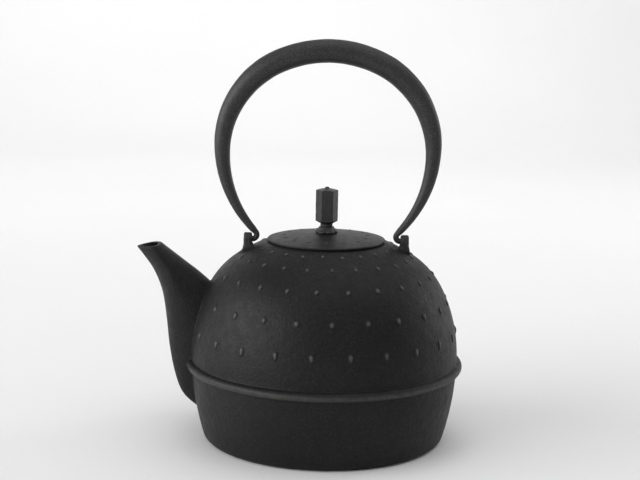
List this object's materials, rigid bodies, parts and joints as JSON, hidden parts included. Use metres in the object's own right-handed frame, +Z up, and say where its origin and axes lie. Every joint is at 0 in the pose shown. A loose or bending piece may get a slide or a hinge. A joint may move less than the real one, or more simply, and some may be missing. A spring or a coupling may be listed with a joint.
{
  "type": "teapot",
  "caption": "Cast-iron teapot with a swinging bail handle, a beaded dome body, a low lid with a spinning hexagonal knob and a lift-out strainer basket.",
  "frame": {"origin": "centre of the flat base, on the pot's axis", "axes": "+Z up along the pot's axis; the spout points along -X; the handle stands in the XZ plane and swings about X"},
  "size_m": [0.1981, 0.168, 0.2422],
  "materials": {
    "cast_iron_body": "matte black cast iron with a fine sand grain",
    "forged_iron_handle": "matte black baked lacquer on hammered iron",
    "cast_iron_lid": "matte black cast iron, a little worn on top",
    "knob_seat_metal": "dark satin",
    "knob_metal": "dark satin, edges worn lighter",
    "rivet_steel": "dull steel",
    "infuser_steel": "satin stainless"
  },
  "bodies": {
    "pot": {"pot_body": "cast_iron_body"},
    "handle": {"handle": "forged_iron_handle"},
    "lid": {"lid": "cast_iron_lid", "knob_seat": "knob_seat_metal", "knob_washer": "rivet_steel"},
    "knob": {"knob": "knob_metal", "knob_rivet": "rivet_steel"},
    "infuser": {"infuser_rim": "infuser_steel", "infuser_wall": "infuser_steel", "infuser_floor": "infuser_steel"}
  },
  "joints": [
    {"name": "handle_swing", "type": "hinge", "parent": "pot", "child": "handle", "pos_m": [0, 0, 0.1218], "axis": [1, 0, 0], "range_deg": [-109, 109]},
    {"name": "lid_lift", "type": "slide", "parent": "pot", "child": "lid", "axis": [0, 0, 1], "range_m": [0, 0.07]},
    {"name": "knob_spin", "type": "hinge", "parent": "lid", "child": "knob", "pos_m": [0, 0, 0.1304], "axis": [0, 0, 1], "continuous": true},
    {"name": "infuser_lift", "type": "slide", "parent": "pot", "child": "infuser", "axis": [0, 0, 1], "range_m": [0, 0.056]}
  ],
  "couplings": [
    {"joint": "infuser_lift", "follows": "lid_lift", "ratio": 0.8}
  ]
}
